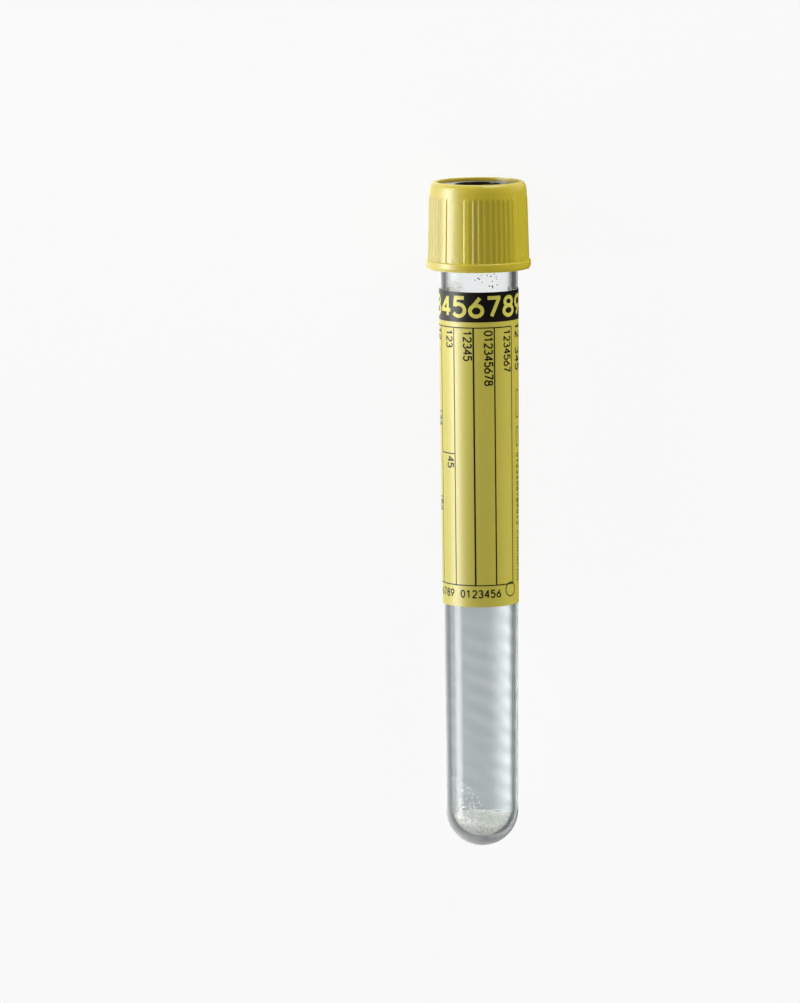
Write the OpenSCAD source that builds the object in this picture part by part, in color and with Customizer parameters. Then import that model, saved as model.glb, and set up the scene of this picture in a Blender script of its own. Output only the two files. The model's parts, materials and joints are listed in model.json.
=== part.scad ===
// Evacuated sample tube, 13 x 100 mm, with a printed label, a pinch of powdered
// additive in its round end and a pull-off closure: a ridged cap shell, the ring
// that locks it from above, and the rubber stopper that the two of them carry.
// Lengths are millimetres. The tube lies as it comes to rest, on its round end and
// on the flange of its cap, with its cap towards +Y and its label's form upwards.

/* [Tube] */
// Length of the tube, from the tip of its round end to its rim
tube_length = 100; // [85:1:130]
// Outside diameter where the round end begins
tube_end_d = 11.7; // [11.2:0.1:12.2]
// Outside diameter at the rim
tube_rim_d = 12.6; // [12.3:0.1:12.9]
// Thickness of the side wall
tube_wall = 0.95; // [0.8:0.05:1.1]
// Thickness of the round end at its tip
tube_tip = 1.3; // [1:0.1:2]
// Depth of the straight bore that takes the stopper
mouth_depth = 7; // [6.5:0.5:9]
// Rounding of the rim's two edges
rim_round = 0.3; // [0.1:0.05:0.35]

/* [Label] */
// Height of the label's lower edge above the tip
label_base = 40; // [30:0.5:44]
// Length of the label along the tube
label_length = 50.8; // [40:0.5:53]
// Length of the dark header band at the label's upper edge
header_length = 4.8; // [2:0.2:10]
// Thickness of the label
label_thickness = 0.12; // [0.08:0.02:0.2]
// Film of glue between label and tube
glue = 0.02; // [0.01:0.01:0.05]
// Angle left bare behind the tube, as a window on what it holds
window_angle = 60; // [15:5:90]

/* [Additive] */
// Depth of the powder in the round end
powder_depth = 2.5; // [1.5:0.1:3.5]
// Slope of the powder's surface, deeper on the side that faces down
powder_slope = 15; // [0:1:20]

/* [Cap] */
// Height of the cap, from its flange to its top
cap_height = 13.9; // [13:0.1:16]
// How far the cap stands above the tube's rim
cap_rise = 8; // [7.6:0.1:8.6]
// Diameter of the smooth skirt just above the flange
skirt_base_d = 16.1; // [15.9:0.1:16.4]
// Diameter of the smooth skirt at the top
skirt_top_d = 15.44; // [15.2:0.02:15.8]
// Rounding of the top's outer edge
top_round = 0.75; // [0.4:0.05:0.85]
// Width of the opening in the top
opening_d = 13.2; // [12.9:0.1:13.4]
// Diameter of the flange round the foot
flange_d = 16.8; // [16.6:0.1:17.4]
// Height of the flange
flange_height = 1.4; // [1.2:0.1:2]
// Rounding of the flange's lower edge
flange_round = 0.6; // [0.3:0.05:0.8]
// Depth of the flat on the back of the flange, which the lying tube rests on
flat_depth = 0.15; // [0.12:0.01:0.2]
// Gap between the tube's rim and the skirt's bore, on the radius
skirt_gap = 0.15; // [0.1:0.05:0.25]
// Thickness of the shelf between stopper and ring
shelf_thickness = 1.2; // [0.8:0.1:1.6]

/* [Grip ridges] */
// Groups of ridges round the skirt
ridge_groups = 4; // [3:1:4]
// Narrow ridges in each group
ridge_count = 8; // [4:1:8]
// Angle from one narrow ridge to the next
ridge_pitch = 6.25; // [5.2:0.05:6.4]
// Width of a narrow ridge, as an angle
ridge_angle = 3.95; // [3:0.05:4.4]
// Width of the broad ridge at each end of a group, as an angle
end_ridge_angle = 8.2; // [5:0.1:9]
// How far the ridges stand out
ridge_rise = 0.2; // [0.1:0.02:0.24]
// Where the ridges stop, below the top of the cap
ridge_top_gap = 2; // [1.2:0.1:4]
// Angle from the front of the tube to the first group's edge
ridge_start = -17.6; // [-45:0.1:45]

/* [Ring] */
// Width of the needle port through the ring
port_d = 7.4; // [6:0.1:8.4]
// Thickness of the ring's plate, which is the length of the port
ring_plate = 1.5; // [1:0.1:1.8]
// How far the ring lies below the top of the cap
ring_sink = 0.4; // [0.2:0.05:0.8]

/* [Stopper] */
// Length of the plug below the tube's rim
plug_length = 5.6; // [4:0.1:6.2]
// Thickness of the flange that lies on the tube's rim
stopper_flange = 2.2; // [1.6:0.1:2.6]
// Diameter of the head that fills the ring
stopper_head_d = 9.3; // [8.8:0.1:9.8]
// Width of the hollow under the plug
plug_hollow_d = 6.6; // [5:0.1:8]
// Depth of the hollow under the plug
plug_hollow_depth = 2.4; // [1:0.1:3]

/* [Clearances] */
// Running clearance between plug and tube, on the radius
plug_clearance = 0.05; // [0.02:0.01:0.1]
// Gap between closure parts that are pressed together
seat_gap = 0.03; // [0.01:0.01:0.05]
// Gap between the stopper's head and the ring's plate
head_gap = 0.1; // [0.08:0.01:0.2]

/* [Hidden] */
$fn = 128;

label_yellow = "#e6de5c";
header_black = "#24201c";
cap_yellow = "#dccd45";

end_r = tube_end_d / 2;
rim_r = tube_rim_d / 2;
mouth_r = rim_r - tube_wall;              // straight bore for the stopper
tube_draft = (rim_r - end_r) / (tube_length - end_r);
mouth_base = tube_length - mouth_depth;

total_height = tube_length + cap_rise;    // tip of the tube to top of the cap
cap_base = total_height - cap_height;
flange_r = flange_d / 2;
flat_r = flange_r - flat_depth;           // to the middle of the flat
flat_height = flange_height / 2;
skirt_base_r = skirt_base_d / 2;
skirt_top_r = skirt_top_d / 2;
skirt_draft = (skirt_base_r - skirt_top_r) / (cap_height - flange_height);
skirt_bore_r = rim_r + skirt_gap;
opening_r = opening_d / 2;
opening_round = 0.15;
flange_top_round = 0.25;
lead_in = 0.4;                            // chamfer that guides the tube's rim in

// Heights along the closure, above the tube's rim
shelf_base = stopper_flange + 2 * seat_gap;
shelf_top = shelf_base + shelf_thickness;
ring_base = shelf_top + seat_gap;
ring_top = cap_rise - ring_sink;
plate_base = ring_top - ring_plate;
head_top = plate_base - head_gap;

head_r = stopper_head_d / 2;
shelf_hole_r = head_r + seat_gap;
plug_r = mouth_r - plug_clearance;
plug_edge = 0.4;                          // chamfer round the foot of the plug
ring_r = opening_r - seat_gap;
ring_edge = 0.2;
dimple_r = 4.5;                           // radius of the hollow in the stopper's top

ridge_chamfer = 0.1;
ridge_bury = 0.5;                         // how far a ridge's root lies in the skirt
group_span = 2 * end_ridge_angle + ridge_count * ridge_pitch + (ridge_pitch - ridge_angle);
group_turn = 360 / ridge_groups;

// Lying attitude: the axis climbs from the round end to the flat on the flange
rest_span = cap_base + flat_height - end_r;
lie_tilt = atan(flat_r / rest_span) - asin(end_r / norm([flat_r, rest_span]));
reach = (total_height - top_round - end_r) * cos(lie_tilt)
      + (skirt_top_r - top_round) * sin(lie_tilt) + top_round;
end_y = (end_r - reach) / 2;              // centres the length on the origin

// Outside radius of the tube at a height above its tip
function tube_r(z) = end_r + tube_draft * (z - end_r);
// Radius of the smooth skirt at a height above the cap's foot
function skirt_r(z) = skirt_base_r - skirt_draft * (z - flange_height);

// From the upright tube, tip at the origin, to the way it lies
module lay_down() {
    translate([0, end_y, end_r]) rotate([lie_tilt - 90, 0, 0]) translate([0, 0, -end_r])
        children();
}

// Half of a round end: a quarter disc that stands on the axis
module round_end(r, centre) {
    intersection() {
        translate([0, centre]) circle(r);
        translate([0, centre - r]) square([r, r]);
    }
}

module tube_outline() {
    shoulder = tube_length - rim_round;
    shoulder_r = tube_r(shoulder);
    round_end(end_r, end_r);
    polygon([[0, end_r], [end_r, end_r], [shoulder_r, shoulder], [0, shoulder]]);
    translate([0, shoulder - rim_round]) square([shoulder_r - rim_round, 2 * rim_round]);
    translate([shoulder_r - rim_round, shoulder]) circle(rim_round);
}

// The space inside the tube: a drafted bore, a straight mouth and a round floor
module bore_outline(shrink = 0) {
    floor_r = end_r - tube_wall - shrink;
    floor_z = tube_tip + end_r - tube_wall;
    bore_top_r = mouth_r - shrink;
    round_end(floor_r, floor_z);
    polygon([[0, floor_z], [floor_r, floor_z], [bore_top_r, mouth_base],
             [bore_top_r, tube_length - rim_round],
             [bore_top_r + 2 * rim_round, tube_length + rim_round], [0, tube_length + rim_round]]);
}

module tube() {
    color("#dfe6e8", 0.45) lay_down() rotate_extrude() difference() {
        tube_outline();
        bore_outline();
    }
}

// A strip wrapped round the tube, from one height to another, open at the back
module wrap(z0, z1) {
    inner = glue;
    outer = glue + label_thickness;
    rotate([0, 0, 90 + window_angle / 2]) rotate_extrude(angle = 360 - window_angle)
        polygon([[tube_r(z0) + inner, z0], [tube_r(z0) + outer, z0],
                 [tube_r(z1) + outer, z1], [tube_r(z1) + inner, z1]]);
}

module label() {
    label_top = label_base + label_length;
    header_base = label_top - header_length;
    lay_down() {
        color(label_yellow) wrap(label_base, header_base);
        color(header_black) wrap(header_base, label_top);
    }
}

module additive() {
    surface_z = tube_tip + powder_depth;
    color("#cfcfc8") lay_down() difference() {
        rotate_extrude() intersection() {
            bore_outline(shrink = seat_gap);
            square([rim_r, tube_tip + 3 * powder_depth]);
        }
        translate([0, 0, surface_z]) rotate([powder_slope, 0, 0])
            translate([-rim_r, -tube_length / 2, 0]) cube([2 * rim_r, tube_length, tube_length]);
    }
}

// Half section of the cap's shell, with its foot at height 0
module cap_section() {
    difference() {
        union() {
            // flange, rounded below and eased above
            translate([0, flange_round])
                square([flange_r, flange_height - flange_round - flange_top_round]);
            square([flange_r - flange_round, flange_height]);
            translate([flange_r - flange_round, flange_round]) circle(flange_round);
            square([flange_r - flange_top_round, flange_height]);
            translate([flange_r - flange_top_round, flange_height - flange_top_round])
                circle(flange_top_round);
            // drafted skirt and rounded top
            polygon([[0, flange_height], [skirt_base_r, flange_height],
                     [skirt_r(cap_height - top_round), cap_height - top_round],
                     [0, cap_height - top_round]]);
            translate([0, cap_height - 2 * top_round])
                square([skirt_r(cap_height - top_round) - top_round, 2 * top_round]);
            translate([skirt_r(cap_height - top_round) - top_round, cap_height - top_round])
                circle(top_round);
        }
        cap_bore();
    }
}

// What the closure is hollowed to: skirt bore, shelf hole and ring seat
module cap_bore() {
    rim_z = cap_height - cap_rise;
    polygon([[0, -1], [skirt_bore_r + lead_in + 1, -1], [skirt_bore_r, lead_in],
             [skirt_bore_r, rim_z + shelf_base], [0, rim_z + shelf_base]]);
    square([shelf_hole_r, cap_height + 1]);
    polygon([[0, rim_z + shelf_top], [opening_r, rim_z + shelf_top],
             [opening_r, cap_height - opening_round],
             [opening_r + 2 * opening_round, cap_height + opening_round],
             [0, cap_height + opening_round]]);
}

// Straight bar with eased edges, standing off the skirt and leaning with its draft
module ridge_bar(angle, width_angle) {
    width = 2 * skirt_base_r * sin(width_angle / 2);
    top_w = width / 2 - ridge_chamfer;
    lean = atan(skirt_draft);
    rotate([0, 0, angle]) translate([skirt_base_r, 0, flange_height]) rotate([0, -lean, 0])
        translate([0, 0, -flange_height]) linear_extrude(2 * cap_height)
            polygon([[-ridge_bury, -width / 2], [ridge_rise - ridge_chamfer, -width / 2],
                     [ridge_rise, -top_w], [ridge_rise, top_w],
                     [ridge_rise - ridge_chamfer, width / 2], [-ridge_bury, width / 2]]);
}

module ridge_group() {
    first = end_ridge_angle + ridge_pitch - ridge_angle / 2;
    ridge_bar(end_ridge_angle / 2, end_ridge_angle);
    for (i = [0 : ridge_count - 1]) ridge_bar(first + i * ridge_pitch, ridge_angle);
    ridge_bar(group_span - end_ridge_angle / 2, end_ridge_angle);
}

// The groups of bars, cut to length with an eased upper end
module ridges() {
    stop = cap_height - ridge_top_gap;
    foot = flange_height - flange_top_round;
    inner = skirt_top_r - 2 * ridge_bury;
    outer = flange_r + ridge_rise;
    intersection() {
        rotate_extrude() polygon([[inner, foot], [outer, foot], [outer, stop - 1],
            [skirt_r(stop) + ridge_rise, stop - 2 * ridge_chamfer],
            [skirt_r(stop), stop], [inner, stop]]);
        for (g = [0 : ridge_groups - 1])
            rotate([0, 0, ridge_start - 90 + g * group_turn]) ridge_group();
    }
}

// All that lies below the floor, so that the flat rests full on it
module under_floor() {
    translate([-flange_r, flat_r, flat_height]) rotate([-lie_tilt, 0, 0])
        translate([0, 0, -cap_height]) cube([2 * flange_r, flange_r, 3 * cap_height]);
}

module cap() {
    color(cap_yellow) lay_down() translate([0, 0, cap_base]) difference() {
        union() {
            rotate_extrude() cap_section();
            ridges();
        }
        under_floor();
    }
}

module ring() {
    color("#1c1b1a") lay_down() translate([0, 0, tube_length]) rotate_extrude() difference() {
        polygon([[0, ring_base], [ring_r, ring_base], [ring_r, ring_top - ring_edge],
                 [ring_r - ring_edge, ring_top], [0, ring_top]]);
        translate([0, ring_base - 1]) square([shelf_hole_r, plate_base - ring_base + 1]);
        translate([0, plate_base - 1]) square([port_d / 2, ring_plate + 2]);
    }
}

module stopper() {
    flange_base = seat_gap;
    flange_top = flange_base + stopper_flange;
    stopper_r = skirt_bore_r - seat_gap;
    dimple_centre = head_top + sqrt(dimple_r * dimple_r - pow(port_d / 2 - ring_edge, 2));
    color("#3b3a39") lay_down() translate([0, 0, tube_length]) rotate_extrude() difference() {
        polygon([[0, -plug_length], [plug_r - plug_edge, -plug_length], [plug_r, plug_edge - plug_length],
                 [plug_r, flange_base], [stopper_r, flange_base], [stopper_r, flange_top],
                 [head_r, flange_top], [head_r, head_top], [0, head_top]]);
        // hollow under the plug and shallow dish where the needle goes in
        polygon([[0, -plug_length - 1], [plug_hollow_d / 2, -plug_length - 1],
                 [plug_hollow_d / 2, -plug_length],
                 [plug_hollow_d / 4, plug_hollow_depth - plug_length],
                 [0, plug_hollow_depth - plug_length]]);
        translate([0, dimple_centre]) circle(dimple_r);
    }
}

tube();
label();
additive();
cap();
ring();
stopper();
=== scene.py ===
"""Looks of a 13 x 100 mm evacuated sample tube, laid on its side on a pale bench.

Every piece is made upright in the tube's own frame, in millimetres, with the tip of the round end
at the origin, the axis along z and the front of the label towards -y. One transform then lays it
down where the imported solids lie.
"""
import json
import math

import bmesh
import bpy
from mathutils import Matrix, Vector, noise


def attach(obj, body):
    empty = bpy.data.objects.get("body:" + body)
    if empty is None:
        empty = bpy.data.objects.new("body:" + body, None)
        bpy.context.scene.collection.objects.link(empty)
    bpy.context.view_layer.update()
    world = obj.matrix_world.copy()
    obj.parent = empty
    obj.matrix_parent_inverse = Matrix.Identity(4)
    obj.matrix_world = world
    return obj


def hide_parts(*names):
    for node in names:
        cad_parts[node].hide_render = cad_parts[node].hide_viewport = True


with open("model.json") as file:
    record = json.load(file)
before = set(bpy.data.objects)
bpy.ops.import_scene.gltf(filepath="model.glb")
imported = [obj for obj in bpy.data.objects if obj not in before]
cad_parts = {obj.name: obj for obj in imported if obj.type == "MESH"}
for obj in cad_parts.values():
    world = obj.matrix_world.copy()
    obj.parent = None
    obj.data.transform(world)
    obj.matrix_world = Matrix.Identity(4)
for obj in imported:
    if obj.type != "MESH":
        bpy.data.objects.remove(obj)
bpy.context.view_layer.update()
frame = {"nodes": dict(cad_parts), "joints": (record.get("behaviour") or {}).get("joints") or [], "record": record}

MM = 0.001
TAU = 2 * math.pi

# -------- where the tube lies

mounts = {m["name"]: m for m in frame["record"]["mounts"]}
axis = Vector(frame["joints"][0]["axis"]).normalized()
end_centre = Vector(mounts["rack_seat"]["pos_m"])
end_r = end_centre.z / MM

side = Vector((1, 0, 0))
turn = Matrix((side, axis.cross(side), axis)).transposed().to_4x4()
LAY_DOWN = (Matrix.Translation(end_centre) @ turn @ Matrix.Scale(MM, 4)
            @ Matrix.Translation((0, 0, -end_r)))
STAND_UP = LAY_DOWN.inverted()


def span(node):
    """Largest radius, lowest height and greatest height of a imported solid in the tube's frame."""
    points = [STAND_UP @ v.co for v in frame["nodes"][node].data.vertices]
    heights = [p.z for p in points]
    return max(math.hypot(p.x, p.y) for p in points), min(heights), max(heights)


rim_r, _, tube_length = span("tube")
_, label_base, label_top = span("label")
flange_r, cap_base, cap_top = span("cap")
ring_r, ring_base, ring_top = span("ring")
stopper_r, plug_base, head_top = span("stopper")
_, _, powder_top = span("additive")
port_r = mounts["needle_port"]["dims"]["r_mm"]
plate = mounts["needle_port"]["dims"]["length_mm"]

# Sizes inside those, in millimetres. Angles are in degrees round the tube from the label's front.
wall = 0.95
tip_wall = 1.3
mouth_depth = 7.0
rim_round = 0.3
glue = 0.02
label_thickness = 0.12
header_length = 4.8
label_start, label_stop = -116, 118
ink_low, ink_high = -0.03, 0.012  # from the film's face
skirt_base_r = 8.05
skirt_top_r = 7.72
flange_height = 1.4
flange_round = 0.6  # at the flange's foot
flange_ease = 0.25  # at its upper edge
top_round = 0.75  # the cap's shoulder: its reach inwards
top_ease = 1.7  # and down
opening_r = 6.6
skirt_bore_r = 6.45
shelf_hole_r = 4.68
shelf = 1.2
stopper_flange = 2.2
seat_gap = 0.03  # under the stopper's flange, and over it
ridge_rise = 0.11
narrow_rise = 0.08
ridge_top_gap = 2.0
ridge_pitch = 6.25
ridge_angle = 3.95
end_ridge_angle = 8.2
ridge_flank = 1.6
ridge_count = 8  # narrow ridges in a group
ridge_groups = 4
ridge_start = -17.6
painted_shade_share = 0.36  # share of painted shade between the ridges
powder_depth = 2.5
powder_slope = 15

tube_draft = (rim_r - end_r) / (tube_length - end_r)
mouth_r = rim_r - wall
floor_r = end_r - wall
floor_z = tip_wall + floor_r
mouth_base = tube_length - mouth_depth
cap_height = cap_top - cap_base
ridge_top = cap_height - ridge_top_gap
skirt_draft = (skirt_base_r - skirt_top_r) / (cap_height - flange_height)
ridge_turn = 360 / ridge_groups
group_span = 2 * end_ridge_angle + ridge_count * ridge_pitch + (ridge_pitch - ridge_angle)


def tube_r(z):
    """Outside radius of the tube at a height."""
    return end_r + tube_draft * (z - end_r)


def bore_r(z):
    """Inside radius of the tube between its round floor and its rim."""
    if z < floor_z:
        return math.sqrt(max(0.0, floor_r ** 2 - (floor_z - z) ** 2))
    return min(mouth_r, floor_r + (mouth_r - floor_r) * (z - floor_z) / (mouth_base - floor_z))


def film_r(z):
    """Radius of the label's outer face."""
    return tube_r(z) + glue + label_thickness


def skirt_r(z):
    """Radius of the cap's skirt between its ridges, z above the cap's foot."""
    return skirt_base_r - skirt_draft * (z - flange_height)


def ease(t):
    """A soft step: 0 below 0, 1 above 1, and level at both ends."""
    t = min(1.0, max(0.0, t))
    return t * t * (3 - 2 * t)


def around(angle, r, z):
    """The upright point at an angle from the label's front, a radius and a height."""
    return (r * math.sin(angle), -r * math.cos(angle), z)


# -------- mesh helpers

def bow(x, y, rx, ry, start, stop, steps=10):
    """Points of an elliptical arc, angles in degrees."""
    angles = [math.radians(start + (stop - start) * i / steps) for i in range(steps + 1)]
    return [(x + rx * math.cos(a), y + ry * math.sin(a)) for a in angles]


def arc(centre_r, centre_z, radius, start, stop, steps):
    """Points of an arc in the half section, angles in degrees from +r towards +z."""
    return bow(centre_r, centre_z, radius, radius, start, stop, steps)


def line(a, b, steps):
    """Points from a to b, without b itself."""
    return [(a[0] + (b[0] - a[0]) * i / steps, a[1] + (b[1] - a[1]) * i / steps)
            for i in range(steps)]


def put_in_scene(name, data):
    """An object of a mesh, a light or a camera, linked into the scene."""
    thing = bpy.data.objects.new(name, data)
    bpy.context.scene.collection.objects.link(thing)
    return thing


def mesh_piece(name, points, faces, materials, smooth_below=35, finish_of=None):
    """A finished piece from upright points in millimetres: laid down where the tube lies, its faces
    turned outwards and shaded smooth below an angle between them. finish_of gives the number of a
    face's material from the face's own number and its middle."""
    mesh = bpy.data.meshes.new(name)
    mesh.from_pydata(points, [], faces)
    if finish_of:
        for face in mesh.polygons:
            face.material_index = finish_of(face.index, face.center)
    work = bmesh.new()
    work.from_mesh(mesh)
    bmesh.ops.remove_doubles(work, verts=work.verts, dist=1e-5)
    bmesh.ops.dissolve_degenerate(work, dist=1e-6, edges=work.edges)
    bmesh.ops.recalc_face_normals(work, faces=work.faces)
    work.to_mesh(mesh)
    work.free()
    mesh.transform(LAY_DOWN)
    mesh.shade_smooth()
    mesh.set_sharp_from_angle(angle=math.radians(smooth_below))
    for material in materials:
        mesh.materials.append(material)
    mesh.update()
    return put_in_scene(name, mesh)


def revolve(section, angles=None, columns=256, closed=True):
    """Points and quads of a half section turned about the axis. section is a list of (r, z), or a
    function of the angle that gives one; it runs once round the piece's wall. angles are in
    radians, and where there are none, a number of even columns takes their place."""
    sweep = angles or [TAU * i / columns for i in range(columns)]
    rows = [section(a) if callable(section) else section for a in sweep]
    points = [around(a, r, z) for a, row in zip(sweep, rows) for r, z in row]
    n = len(rows[0])
    faces = []
    last = len(sweep) if closed else len(sweep) - 1
    for i in range(last):
        j = (i + 1) % len(sweep)
        for k in range(n):
            m = (k + 1) % n
            faces.append((i * n + k, j * n + k, j * n + m, i * n + m))
    if not closed:
        faces.append(tuple(range(n)))
        faces.append(tuple((len(sweep) - 1) * n + k for k in reversed(range(n))))
    return points, faces


class Strips:
    """Raised strips along paths on a wrapped face, gathered into one mesh. place turns (along the
    wrap, up the tube, height over the face) into an upright point."""
    step_round, step_up = 0.5, 6       # a path's longest steps, in millimetres
    mitre_limit = 0.6

    def __init__(self, place, low, high):
        self.place, self.low, self.high = place, low, high
        self.points, self.faces = [], []

    def stroke(self, path, width, high=None):
        """Adds a closed strip of one width along a path of (u, v) points, mitred at its bends."""
        fine = [path[0]]
        for a, b in zip(path, path[1:]):
            steps = max(1, math.ceil(abs(b[0] - a[0]) / self.step_round),
                        math.ceil(abs(b[1] - a[1]) / self.step_up))
            fine += line(a, b, steps)[1:] + [b]
        top = self.high if high is None else high
        base, n = len(self.points), len(fine)
        for i, (u, v) in enumerate(fine):
            p, q = fine[max(i - 1, 0)], fine[min(i + 1, n - 1)]
            ahead = Vector((q[0] - u, q[1] - v))
            behind = Vector((u - p[0], v - p[1]))
            ahead = (ahead if ahead.length else behind).normalized()
            behind = (behind if behind.length else ahead).normalized()
            along = (ahead + behind).normalized() if (ahead + behind).length > 1e-6 else ahead
            reach = width / 2 / max(self.mitre_limit, along.dot(ahead))
            across = Vector((-along.y, along.x)) * reach
            for s in (-1, 1):
                for height in (self.low, top):
                    self.points.append(self.place(u + s * across.x, v + s * across.y, height))
        for i in range(n - 1):
            a, b = base + 4 * i, base + 4 * i + 4
            self.faces += [(a, a + 1, b + 1, b), (a + 1, a + 3, b + 3, b + 1),
                           (a + 3, a + 2, b + 2, b + 3), (a + 2, a, b, b + 2)]
        end = base + 4 * (n - 1)
        self.faces += [(base, base + 2, base + 3, base + 1), (end, end + 1, end + 3, end + 2)]

    def number(self, text, u, v, height, width, pitch, turned=False, wide=1.0):
        """Adds a row of digits from their lower left corner; turned ones read down the tube."""
        for i, digit in enumerate(text):
            for path in DIGITS.get(digit, []):
                spot = [(x * wide * height + i * pitch, y * height) for x, y in path]
                self.stroke([(u + y, v - x) if turned else (u + x, v + y) for x, y in spot], width)


# Plain digits as pen strokes in a box one high and about 0.6 wide
DIGITS = {
    "0": [bow(.29, .5, .28, .5, 90, 450, 18)],
    "1": [[(.08, .78), (.33, .99)], [(.32, 1.05), (.32, 0)]],
    "2": [bow(.29, .72, .27, .28, 165, -35, 9) + [(.04, .02)], [(-.04, 0), (.58, 0)]],
    "3": [bow(.27, .76, .25, .24, 150, -90, 9), bow(.27, .27, .30, .27, 90, -150, 10)],
    "4": [[(.44, 0), (.44, 1.05)], [(.43, .97), (.03, .33)], [(-.05, .3), (.62, .3)]],
    "5": [[(.54, 1), (.03, 1)], [(.11, 1), (.07, .52)], bow(.27, .33, .30, .33, 128, -150, 11)],
    "6": [[(.46, 1)] + bow(.29, .3, .28, .3, 165, 525, 16)],
    "7": [[(0, 1), (.62, 1)], [(.54, .97), (.18, 0)]],
    "8": [bow(.29, .76, .23, .24, 90, 450, 14), bow(.29, .27, .29, .27, 90, 450, 14)],
    "9": [[(.12, 0)] + bow(.29, .7, .28, .3, -15, 345, 16)],
}


# -------- material helpers

def linear(hex_colour):
    """An sRGB hex value as the linear colour that shaders take."""
    parts = [int(hex_colour[i:i + 2], 16) / 255 for i in (1, 3, 5)]
    return [c / 12.92 if c <= 0.04045 else ((c + 0.055) / 1.055) ** 2.4 for c in parts] + [1.0]


def add_node(tree, kind, inputs=None, **settings):
    """Adds one node, sets its settings, then fills or links its inputs by name or number. A node
    stands for its first output, and a hex value for its colour."""
    node = tree.nodes.new(kind)
    for key, value in settings.items():
        setattr(node, key, value)
    for key, value in (inputs or {}).items():
        if isinstance(value, bpy.types.Node):
            value = value.outputs[0]
        elif isinstance(value, str) and value.startswith("#"):
            value = linear(value)
        if isinstance(value, bpy.types.NodeSocket):
            tree.links.new(value, node.inputs[key])
        else:
            node.inputs[key].default_value = value
    return node


def new_material(name):
    """A material with an empty node tree, and that tree."""
    material = bpy.data.materials.new(name)
    material.use_nodes = True
    material.node_tree.nodes.clear()
    return material, material.node_tree


def object_noise(tree, per_mm, detail=2.0, stretch=(1, 1, 1)):
    """Noise on the piece's own coordinates with a given number of features to the millimetre."""
    place = add_node(tree, "ShaderNodeTexCoord")
    fitted = add_node(tree, "ShaderNodeMapping", {"Vector": place.outputs["Object"], "Scale": stretch})
    return add_node(tree, "ShaderNodeTexNoise", {
        "Vector": fitted, "Scale": per_mm / MM, "Detail": detail})


# -------- materials

def clear_pet():
    """Injection-moulded PET: water clear and polished, its reflections toned down, and painted dimmer
    still as shade towards the neck. Below the label its inside is hazed by the additive that was sprayed
    in and dried, thinner and thicker in slanting runs. Shadow rays pass, so what is inside the tube is lit."""
    material, tree = new_material("moulded_clear_pet")
    place = add_node(tree, "ShaderNodeTexCoord")
    parts = add_node(tree, "ShaderNodeSeparateXYZ", {0: place.outputs["Object"]})
    below = add_node(tree, "ShaderNodeMapRange", {
        "Value": parts.outputs["Y"], "From Min": 18 * MM, "From Max": -12 * MM},
        interpolation_type="SMOOTHSTEP")
    slant = add_node(tree, "ShaderNodeMapping", {
        "Vector": place.outputs["Object"], "Rotation": (0, 0, 0.35)})
    runs = add_node(tree, "ShaderNodeTexWave", {
        "Vector": slant, "Scale": 0.11 / MM, "Distortion": 3.0, "Detail": 2.0, "Detail Scale": 0.6},
        bands_direction="Y")
    thick = add_node(tree, "ShaderNodeMath", {
        0: runs.outputs["Fac"], 1: object_noise(tree, 0.12)}, operation="MULTIPLY")
    spread = add_node(tree, "ShaderNodeMapRange", {"Value": thick, "From Max": 0.6})
    haze = add_node(tree, "ShaderNodeMix", {0: spread, 6: "#e4eaea", 7: "#f2f5f5"}, data_type="RGBA")
    tint = add_node(tree, "ShaderNodeMix", {0: below, 6: "#fbfdfd", 7: haze.outputs[2]}, data_type="RGBA")
    # painted shade: the reflections are toned down everywhere, and tinted dimmer from partway up the label to the
    # neck
    sheen = add_node(tree, "ShaderNodeMix", {0: below, 6: "#5a5a5a", 7: "#b4b4b4"}, data_type="RGBA")
    ripple = object_noise(tree, 0.22, 1.0, (1, 0.35, 1))
    bump = add_node(tree, "ShaderNodeBump", {"Height": ripple, "Strength": 0.03, "Distance": 0.2 * MM})
    clear = add_node(tree, "ShaderNodeMapRange", {"Value": below, "To Min": 1.0, "To Max": 0.9})
    shell = add_node(tree, "ShaderNodeBsdfPrincipled", {
        "Base Color": tint.outputs[2], "Roughness": 0.05, "IOR": 1.57, "Specular Tint": sheen.outputs[2],
        "Transmission Weight": clear, "Normal": bump})
    path = add_node(tree, "ShaderNodeLightPath")
    open_way = add_node(tree, "ShaderNodeBsdfTransparent", {"Color": "#f4f6f6"})
    mix = add_node(tree, "ShaderNodeMixShader", {0: path.outputs["Is Shadow Ray"], 1: shell, 2: open_way})
    add_node(tree, "ShaderNodeOutputMaterial", {"Surface": mix})
    return material


def printed_film(name, colour, tint, roughness, shine=0.5, passes=0.0):
    """Coated polyester label film, printed edge to edge: even ink, a soft sheen and a trace of
    mottle where the coat is thinner. passes is the share of light that comes through it."""
    material, tree = new_material(name)
    fine, mottle = object_noise(tree, 4.0), object_noise(tree, 0.6, 3.0)
    bump = add_node(tree, "ShaderNodeBump", {"Height": fine, "Strength": 0.08, "Distance": 0.02 * MM})
    paint = add_node(tree, "ShaderNodeMix", {0: mottle, 6: colour, 7: tint}, data_type="RGBA")
    surface = add_node(tree, "ShaderNodeBsdfPrincipled", {
        "Base Color": paint.outputs[2], "Roughness": roughness, "IOR": 1.58, "Specular IOR Level": shine,
        "Normal": bump})
    if passes:
        through = add_node(tree, "ShaderNodeBsdfTranslucent", {"Color": paint.outputs[2]})
        surface = add_node(tree, "ShaderNodeMixShader", {0: passes, 1: surface, 2: through})
    add_node(tree, "ShaderNodeOutputMaterial", {"Surface": surface})
    return material


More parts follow.
